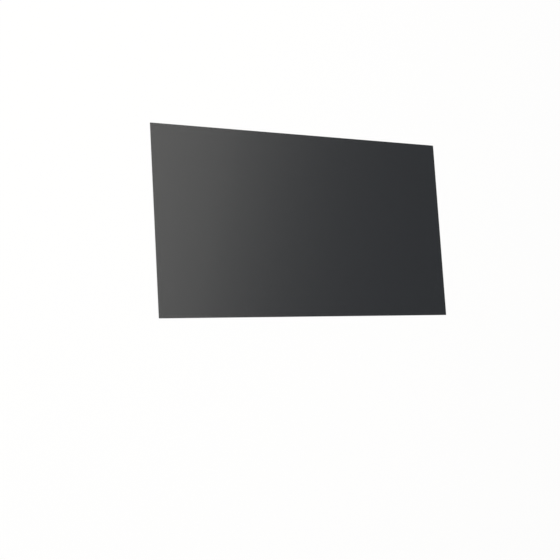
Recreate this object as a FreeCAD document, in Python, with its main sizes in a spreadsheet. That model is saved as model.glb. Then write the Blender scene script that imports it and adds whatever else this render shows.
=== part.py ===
# Privacy filter: one flat sheet of dark louvre film, die-cut to the 24-inch 16:9 format.
# The film's layers are bonded for good, so the sheet is one solid.
# Millimetres. The sheet lies on its back face: X runs along its width, Y along its height and
# Z out of the viewing face. The origin is the middle of the back face.
import FreeCAD, Part
import math
import os
import Sketcher

# Driving dimensions: alias, size in millimetres, what it measures.
DIMENSIONS = [
    ("sheet_width", 532.0, "left edge to right edge, the width of the 24-inch 16:9 format"),
    ("sheet_height", 299.0, "lower edge to upper edge, the height of the same format"),
    ("sheet_thickness", 0.53, "the bonded film, front face to back face"),
    ("corner_radius", 1.0, "rounding that the cutting rule leaves at each corner"),
    ("edge_break", 0.08, "rounding of the cut edge along both faces"),
]
# Two roundings share the cut wall, so each takes at most this share of the thickness.
LARGEST_BREAK_SHARE = 0.45

# Order of the outline's lines and of its corner arcs, anticlockwise from the lower edge.
BOTTOM, RIGHT, TOP, LEFT = range(4)
LOWER_RIGHT, UPPER_RIGHT, UPPER_LEFT, LOWER_LEFT = range(4, 8)
# Numbers that pick a point of a line or arc, and the sketch's own origin.
START, END, CENTRE = 1, 2, 3
ORIGIN = (-1, 1)


def make_dimensions(doc):
    """The spreadsheet of driving dimensions, one aliased number a row."""
    table = doc.addObject("Spreadsheet::Sheet", "dimensions")
    for row, (alias, size, meaning) in enumerate(DIMENSIONS, start=1):
        table.set(f"A{row}", alias)
        table.set(f"B{row}", str(size))
        table.setAlias(f"B{row}", alias)
        table.set(f"C{row}", meaning)
    doc.recompute()
    return table


def add_rounded_rectangle(sketch, table):
    """A rectangle centred on the origin with four equal corner arcs, sized by named constraints."""
    half_x, half_y = table.sheet_width / 2, table.sheet_height / 2
    radius = table.corner_radius
    reach_x, reach_y = half_x - radius, half_y - radius
    up = FreeCAD.Vector(0, 0, 1)

    def point(x, y):
        return FreeCAD.Vector(x, y, 0)

    def corner(x, y, quarter):
        circle = Part.Circle(point(x, y), up, radius)
        return Part.ArcOfCircle(circle, quarter * math.pi / 2, (quarter + 1) * math.pi / 2)

    sketch.addGeometry([
        Part.LineSegment(point(-reach_x, -half_y), point(reach_x, -half_y)),
        Part.LineSegment(point(half_x, -reach_y), point(half_x, reach_y)),
        Part.LineSegment(point(reach_x, half_y), point(-reach_x, half_y)),
        Part.LineSegment(point(-half_x, reach_y), point(-half_x, -reach_y)),
        corner(reach_x, -reach_y, 3),
        corner(reach_x, reach_y, 0),
        corner(-reach_x, reach_y, 1),
        corner(-reach_x, -reach_y, 2),
    ])
    lines = (BOTTOM, RIGHT, TOP, LEFT)
    corners = (LOWER_RIGHT, UPPER_RIGHT, UPPER_LEFT, LOWER_LEFT)
    for place, (line, arc) in enumerate(zip(lines, corners)):
        next_line = lines[(place + 1) % len(lines)]
        sketch.addConstraint(Sketcher.Constraint("Tangent", line, END, arc, START))
        sketch.addConstraint(Sketcher.Constraint("Tangent", arc, END, next_line, START))
    for line in (BOTTOM, TOP):
        sketch.addConstraint(Sketcher.Constraint("Horizontal", line))
    for line in (RIGHT, LEFT):
        sketch.addConstraint(Sketcher.Constraint("Vertical", line))
    for arc in corners[1:]:
        sketch.addConstraint(Sketcher.Constraint("Equal", corners[0], arc))
    opposite = (LOWER_RIGHT, CENTRE, UPPER_LEFT, CENTRE)
    sketch.addConstraint(Sketcher.Constraint("Symmetric", *opposite, *ORIGIN))

    sizes = [
        ("sheet_width", ("DistanceX", LEFT, START, RIGHT, START), table.sheet_width),
        ("sheet_height", ("DistanceY", BOTTOM, START, TOP, START), table.sheet_height),
        ("corner_radius", ("Radius", LOWER_RIGHT), radius),
    ]
    for alias, what, size in sizes:
        index = sketch.addConstraint(Sketcher.Constraint(*what, size))
        sketch.renameConstraint(index, alias)
        sketch.setExpression(f"Constraints.{alias}", f"{table.Name}.{alias}")


def back_and_viewing_face(slab):
    """Names of the two faces that look along the thickness, down and up."""
    names = []
    for number, face in enumerate(slab.Shape.Faces, start=1):
        outward = face.normalAt(0, 0)
        if abs(outward.z) > math.hypot(outward.x, outward.y):
            names.append(f"Face{number}")
    return names


def make_filter_sheet(doc, table):
    """The sheet: a rounded outline, as thick as the film, with its cut edge broken on both faces."""
    body = doc.addObject("PartDesign::Body", "filter_sheet")
    body.Label = "filter_sheet"
    body.Placement = FreeCAD.Placement(FreeCAD.Vector(0, 0, 0), FreeCAD.Rotation())

    outline = body.newObject("Sketcher::SketchObject", "cut_outline")
    ground = next(o for o in body.Origin.OriginFeatures if o.Role == "XY_Plane")
    outline.AttachmentSupport = [(ground, "")]
    outline.MapMode = "FlatFace"
    add_rounded_rectangle(outline, table)

    film = body.newObject("PartDesign::Pad", "film")
    film.Profile = outline
    film.setExpression("Length", f"{table.Name}.sheet_thickness")
    doc.recompute()

    broken = body.newObject("PartDesign::Fillet", "broken_edges")
    broken.Base = (film, back_and_viewing_face(film))
    largest = f"{table.Name}.sheet_thickness * {LARGEST_BREAK_SHARE}"
    broken.setExpression("Radius", f"min({table.Name}.edge_break; {largest})")
    body.Tip = broken
    doc.recompute()
    return body


def check(doc, subparts):
    """Stops the build if a feature failed or a sub-part has no sound solid."""
    for item in doc.Objects:
        if any(word in item.State for word in ("Invalid", "Error")):
            raise RuntimeError(f"{item.Label} failed: {item.State}")
    for subpart in subparts:
        shape = subpart.Shape
        if shape.isNull() or not shape.isValid() or len(shape.Solids) != 1:
            raise RuntimeError(f"{subpart.Label} is not one sound solid")


def main():
    doc = FreeCAD.newDocument("monitor_privacy_filter")
    table = make_dimensions(doc)
    subparts = [make_filter_sheet(doc, table)]
    check(doc, subparts)
    os.makedirs("parts", exist_ok=True)
    for subpart in subparts:
        subpart.Shape.exportStep(os.path.join("parts", f"{subpart.Label}.step"))
        box = subpart.Shape.optimalBoundingBox(False)
        size = " x ".join(f"{length:.2f}" for length in (box.XLength, box.YLength, box.ZLength))
        print(f"{subpart.Label}: {size} mm, {subpart.Shape.Volume / 1000:.2f} cm3")


main()
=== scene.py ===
import math

import bpy
from mathutils import Matrix, Vector


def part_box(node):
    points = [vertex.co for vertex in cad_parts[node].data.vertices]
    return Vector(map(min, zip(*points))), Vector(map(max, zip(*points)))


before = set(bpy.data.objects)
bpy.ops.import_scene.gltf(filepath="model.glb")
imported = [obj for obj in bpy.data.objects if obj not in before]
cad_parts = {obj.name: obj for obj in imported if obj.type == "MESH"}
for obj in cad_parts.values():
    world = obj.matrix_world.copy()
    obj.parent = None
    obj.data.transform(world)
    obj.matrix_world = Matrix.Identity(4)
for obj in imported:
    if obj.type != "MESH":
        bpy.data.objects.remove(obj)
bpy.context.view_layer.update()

# Privacy filter: one flat sheet of dark louvre film, lying on its back face on a pale studio floor.
# Metres, in the sheet's own frame: X along its width, Y along its height, Z out of the viewing face.
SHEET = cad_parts["filter_sheet"]
SHEET_LOW, SHEET_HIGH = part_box("filter_sheet")
SHEET_WIDTH = SHEET_HIGH.x - SHEET_LOW.x
SHEET_UP = Vector((0, 1, 0))
UP = Vector((0, 0, 1))
MM = 0.001

# Camera, from the sheet's four corners in the picture. Places are in sheet widths from its middle.
CAMERA_PLACE = Vector((-1.648, -0.553, 2.780))
CAMERA_AIM = Vector((-0.1064, -0.1703, 0.0))
CAMERA_ROLL_DEG = 3.4
CAMERA_LENS_MM = 69.06

# Lamps, where a radiance of 1 looks white. One large softbox hangs overhead, and its right edge fades
# out in the sheet's satin face. It is turned a little, so the sheen fades towards the lower side too.
SOFTBOX_PLACE = Vector((-0.343, 0.519, 2.0))
SOFTBOX_WIDTH, SOFTBOX_DEPTH = 2.32, 4.4
SOFTBOX_TURN_DEG = 15.0
SOFTBOX_RADIANCE = 2.48
# A dim upright panel behind the sheet's left gives the face a like sheen when seen from the right.
PANEL_PLACE = Vector((-2.75, 1.55, 1.4))
PANEL_WIDTH, PANEL_HEIGHT = 1.6, 1.2
PANEL_RADIANCE = 0.7
LAMP_COLOUR = "#FFFCF5"

# Studio walls and ceiling, a dome of radius 1: pale at the horizon, and dim from this height up.
HORIZON_COLOUR = "#D2D3D5"
CEILING_COLOUR = "#4D5053"
CEILING_FROM_HEIGHT = 0.42

# Floor: matt white emulsion paint, with no sheen of its own. It gives the eye an even white that fades
# to the walls' tone with distance. It lies a hair under the sheet's back face.
FLOOR_DROP = 0.2 * MM
FLOOR_REACH = 40.0
FLOOR_FADE_FROM, FLOOR_FADE_TO = 1.6, 14.0
FLOOR_COLOUR = "#F2F2F2"
# Eyes, mirrors and see-through things meet this share of plain white. The rest is the lit paint, which
# takes the sheet's shadow.
FLOOR_WHITE = "#FFFFFF"
FLOOR_WHITE_SHARE = 0.9


def linear(srgb_hex):
    """Linear RGBA of an sRGB hex colour."""
    parts = [int(srgb_hex[i:i + 2], 16) / 255 for i in (1, 3, 5)]
    return [c / 12.92 if c <= 0.04045 else ((c + 0.055) / 1.055) ** 2.4 for c in parts] + [1.0]


def add_node(tree, kind, inputs=None, **settings):
    """A node of that kind, with its settings. An input is a value, or a node's output to link."""
    node = tree.nodes.new(kind)
    for name, value in settings.items():
        setattr(node, name, value)
    for socket, value in (inputs or {}).items():
        if isinstance(value, bpy.types.NodeSocket):
            tree.links.new(value, node.inputs[socket])
        else:
            node.inputs[socket].default_value = value
    return node


def empty_tree(owner):
    """The owner's node tree, with nothing in it."""
    owner.use_nodes = True
    owner.node_tree.nodes.clear()
    return owner.node_tree


# Louvre film: polycarbonate and polyester film bonded round upright black louvres, under a satin hard
# coat. It gives the eye a dark, slightly cool grey, clear to look through, with a broad soft sheen.
FILM_INDEX = 1.585
FILM_GAP_COLOUR = "#2E3033"
FILM_LOUVRE_COLOUR = "#2A2C2F"
# Real louvres stand about 0.1 mm apart, far too fine to show. They are drawn as faint bands this far
# apart, which show close up and melt into one even grey from a step away, as the louvres do.
LOUVRE_PITCH = 4.0 * MM
# Haze in the film itself: how much it drifts from place to place, the size of the drifts, and how many
# rounds of finer drifts lie in them.
FILM_HAZE = 0.05
HAZE_DRIFT = 0.02
HAZE_SIZE = 18 * MM
HAZE_FINER_ROUNDS = 3
# Satin hard coat: cured acrylic, rolled on. The film meets this coat and not air, so only the step from
# the coat's index to the film's bends light at the film.
COAT_INDEX = 1.5
COAT_ROUGHNESS = 0.32
# Slow waves that the calendered film keeps: how far apart they lie, how high they stand, and how many
# rounds of finer waves lie in them.
WAVE_SIZE = 70 * MM
WAVE_HEIGHT = 0.05 * MM
WAVE_FINER_ROUNDS = 1
# Die-cut edge: dull. The surface counts as cut where it faces up or down by less than the first of
# these shares, and as one of the sheet's two faces where it does so by more than the second.
CUT_ROUGHNESS = 0.5
CUT_UP_TO, FACE_FROM = 0.35, 0.75


def louvre_film():
    """The sheet's one finish: banded see-through film under its coat, with a dull cut edge."""
    film = bpy.data.materials.new("polycarbonate_louvre_film_satin_hard_coat")
    tree = empty_tree(film)
    place = add_node(tree, "ShaderNodeTexCoord").outputs["Object"]
    across = add_node(tree, "ShaderNodeSeparateXYZ", {"Vector": place}).outputs["X"]

    phase = add_node(tree, "ShaderNodeMath", {
        0: across, 1: 2 * math.pi / LOUVRE_PITCH,
    }, operation="MULTIPLY")
    band = add_node(tree, "ShaderNodeMath", {0: phase.outputs[0]}, operation="SINE")
    gap_share = add_node(tree, "ShaderNodeMapRange", {"Value": band.outputs[0], "From Min": -1.0})
    tint = add_node(tree, "ShaderNodeMix", {
        "Factor": gap_share.outputs[0],
        "A": linear(FILM_LOUVRE_COLOUR),
        "B": linear(FILM_GAP_COLOUR),
    }, data_type="RGBA")

    drift = add_node(tree, "ShaderNodeTexNoise", {
        "Vector": place, "Scale": 1 / HAZE_SIZE, "Detail": HAZE_FINER_ROUNDS,
    })
    haze = add_node(tree, "ShaderNodeMapRange", {
        "Value": drift.outputs["Fac"],
        "To Min": FILM_HAZE - HAZE_DRIFT,
        "To Max": FILM_HAZE + HAZE_DRIFT,
    })
    outward = add_node(tree, "ShaderNodeNewGeometry").outputs["True Normal"]
    upward = add_node(tree, "ShaderNodeSeparateXYZ", {"Vector": outward}).outputs["Z"]
    flatness = add_node(tree, "ShaderNodeMath", {0: upward}, operation="ABSOLUTE")
    roughness = add_node(tree, "ShaderNodeMapRange", {
        "Value": flatness.outputs[0],
        "From Min": CUT_UP_TO,
        "From Max": FACE_FROM,
        "To Min": CUT_ROUGHNESS,
        "To Max": haze.outputs[0],
    })

    waves = add_node(tree, "ShaderNodeTexNoise", {
        "Vector": place, "Scale": 1 / WAVE_SIZE, "Detail": WAVE_FINER_ROUNDS,
    })
    bump = add_node(tree, "ShaderNodeBump", {"Height": waves.outputs["Fac"], "Distance": WAVE_HEIGHT})

    surface = add_node(tree, "ShaderNodeBsdfPrincipled", {
        "Base Color": tint.outputs["Result"],
        "Roughness": roughness.outputs[0],
        "IOR": FILM_INDEX / COAT_INDEX,
        "Transmission Weight": 1.0,
        "Coat Weight": 1.0,
        "Coat IOR": COAT_INDEX,
        "Coat Roughness": COAT_ROUGHNESS,
        "Normal": bump.outputs["Normal"],
        "Coat Normal": bump.outputs["Normal"],
    })
    add_node(tree, "ShaderNodeOutputMaterial", {"Surface": surface.outputs[0]})
    return film


def dress_sheet():
    """The CAD sheet keeps its shape and takes the film as its finish."""
    SHEET.data.materials.clear()
    SHEET.data.materials.append(louvre_film())


def studio_paint():
    """The floor's matt paint, which eyes, mirrors and see-through things all meet as nearly white."""
    paint = bpy.data.materials.new("matt_white_studio_paint")
    tree = empty_tree(paint)
    where = add_node(tree, "ShaderNodeNewGeometry").outputs["Position"]
    away = add_node(tree, "ShaderNodeVectorMath", {0: where}, operation="LENGTH")
    far = add_node(tree, "ShaderNodeMapRange", {
        "Value": away.outputs["Value"], "From Min": FLOOR_FADE_FROM, "From Max": FLOOR_FADE_TO,
    }, interpolation_type="SMOOTHSTEP")
    tone = add_node(tree, "ShaderNodeMix", {
        "Factor": far.outputs[0], "A": linear(FLOOR_WHITE), "B": linear(HORIZON_COLOUR),
    }, data_type="RGBA")

    ray = add_node(tree, "ShaderNodeLightPath").outputs
    seen_or_mirrored = add_node(tree, "ShaderNodeMath", {
        0: ray["Is Camera Ray"], 1: ray["Is Glossy Ray"],
    }, operation="MAXIMUM")
    looked_at = add_node(tree, "ShaderNodeMath", {
        0: seen_or_mirrored.outputs[0], 1: ray["Is Transmission Ray"],
    }, operation="MAXIMUM")
    white_share = add_node(tree, "ShaderNodeMapRange", {
        "Value": far.outputs[0], "To Min": FLOOR_WHITE_SHARE,
    })
    shown_white = add_node(tree, "ShaderNodeMath", {
        0: looked_at.outputs[0], 1: white_share.outputs[0],
    }, operation="MULTIPLY")

    lit = add_node(tree, "ShaderNodeBsdfDiffuse", {"Color": linear(FLOOR_COLOUR)})
    plain = add_node(tree, "ShaderNodeEmission", {"Color": tone.outputs["Result"], "Strength": 1.0})
    mixed = add_node(tree, "ShaderNodeMixShader", {
        0: shown_white.outputs[0], 1: lit.outputs[0], 2: plain.outputs[0],
    })
    add_node(tree, "ShaderNodeOutputMaterial", {"Surface": mixed.outputs[0]})
    return paint


def studio_floor():
    """A wide pale floor just under the sheet."""
    level = SHEET_LOW.z - FLOOR_DROP
    sides = [(-1, -1), (1, -1), (1, 1), (-1, 1)]
    corners = [(FLOOR_REACH * x, FLOOR_REACH * y, level) for x, y in sides]
    mesh = bpy.data.meshes.new("studio_floor")
    mesh.from_pydata(corners, [], [(0, 1, 2, 3)])
    mesh.materials.append(studio_paint())
    floor = bpy.data.objects.new("studio_floor", mesh)
    bpy.context.scene.collection.objects.link(floor)


def studio_walls():
    """The world: the same for every kind of ray, pale at the horizon and dim overhead."""
    world = bpy.data.worlds.new("studio_walls")
    tree = empty_tree(world)
    towards = add_node(tree, "ShaderNodeTexCoord").outputs["Generated"]
    height = add_node(tree, "ShaderNodeSeparateXYZ", {"Vector": towards}).outputs["Z"]
    rise = add_node(tree, "ShaderNodeMapRange", {
        "Value": height, "From Max": CEILING_FROM_HEIGHT,
    }, interpolation_type="SMOOTHSTEP")
    tone = add_node(tree, "ShaderNodeMix", {
        "Factor": rise.outputs[0], "A": linear(HORIZON_COLOUR), "B": linear(CEILING_COLOUR),
    }, data_type="RGBA")
    walls = add_node(tree, "ShaderNodeBackground", {"Color": tone.outputs["Result"], "Strength": 1.0})
    add_node(tree, "ShaderNodeOutputWorld", {"Surface": walls.outputs[0]})
    bpy.context.scene.world = world


def looking(place, aim, up, turn_deg=0.0):
    """The stand of a lamp or camera: at one place, looking at another, level with the up direction
    and then turned clockwise, as seen from behind it."""
    back = (place - aim).normalized()
    right = up.cross(back).normalized()
    level = Matrix((right, back.cross(right), back)).transposed().to_4x4()
    return Matrix.Translation(place) @ level @ Matrix.Rotation(-math.radians(turn_deg), 4, "Z")


def lamp(name, width, height, radiance, stand):
    """An evenly lit rectangle. Each square metre takes pi times its radiance in watts."""
    light = bpy.data.lights.new(name, "AREA")
    light.shape = "RECTANGLE"
    light.size, light.size_y = width, height
    light.energy = radiance * math.pi * width * height
    light.color = linear(LAMP_COLOUR)[:3]
    held = bpy.data.objects.new(name, light)
    held.matrix_world = stand
    bpy.context.scene.collection.objects.link(held)


def studio_lamps():
    """The softbox flat overhead, facing down, and the panel on its stand, facing the sheet."""
    overhead = looking(SOFTBOX_PLACE, SOFTBOX_PLACE - UP, SHEET_UP, SOFTBOX_TURN_DEG)
    lamp("softbox", SOFTBOX_WIDTH, SOFTBOX_DEPTH, SOFTBOX_RADIANCE, overhead)
    beside = looking(PANEL_PLACE, Vector(), UP)
    lamp("panel", PANEL_WIDTH, PANEL_HEIGHT, PANEL_RADIANCE, beside)


def camera():
    """The camera above the sheet's left and lower side, rolled a little about its line of sight."""
    lens = bpy.data.cameras.new("camera")
    lens.lens = CAMERA_LENS_MM
    held = bpy.data.objects.new("camera", lens)
    place, aim = CAMERA_PLACE * SHEET_WIDTH, CAMERA_AIM * SHEET_WIDTH
    held.matrix_world = looking(place, aim, SHEET_UP, CAMERA_ROLL_DEG)
    bpy.context.scene.collection.objects.link(held)
    bpy.context.scene.camera = held


dress_sheet()
studio_floor()
studio_walls()
studio_lamps()
camera()
bpy.context.scene.view_settings.view_transform = "Standard"
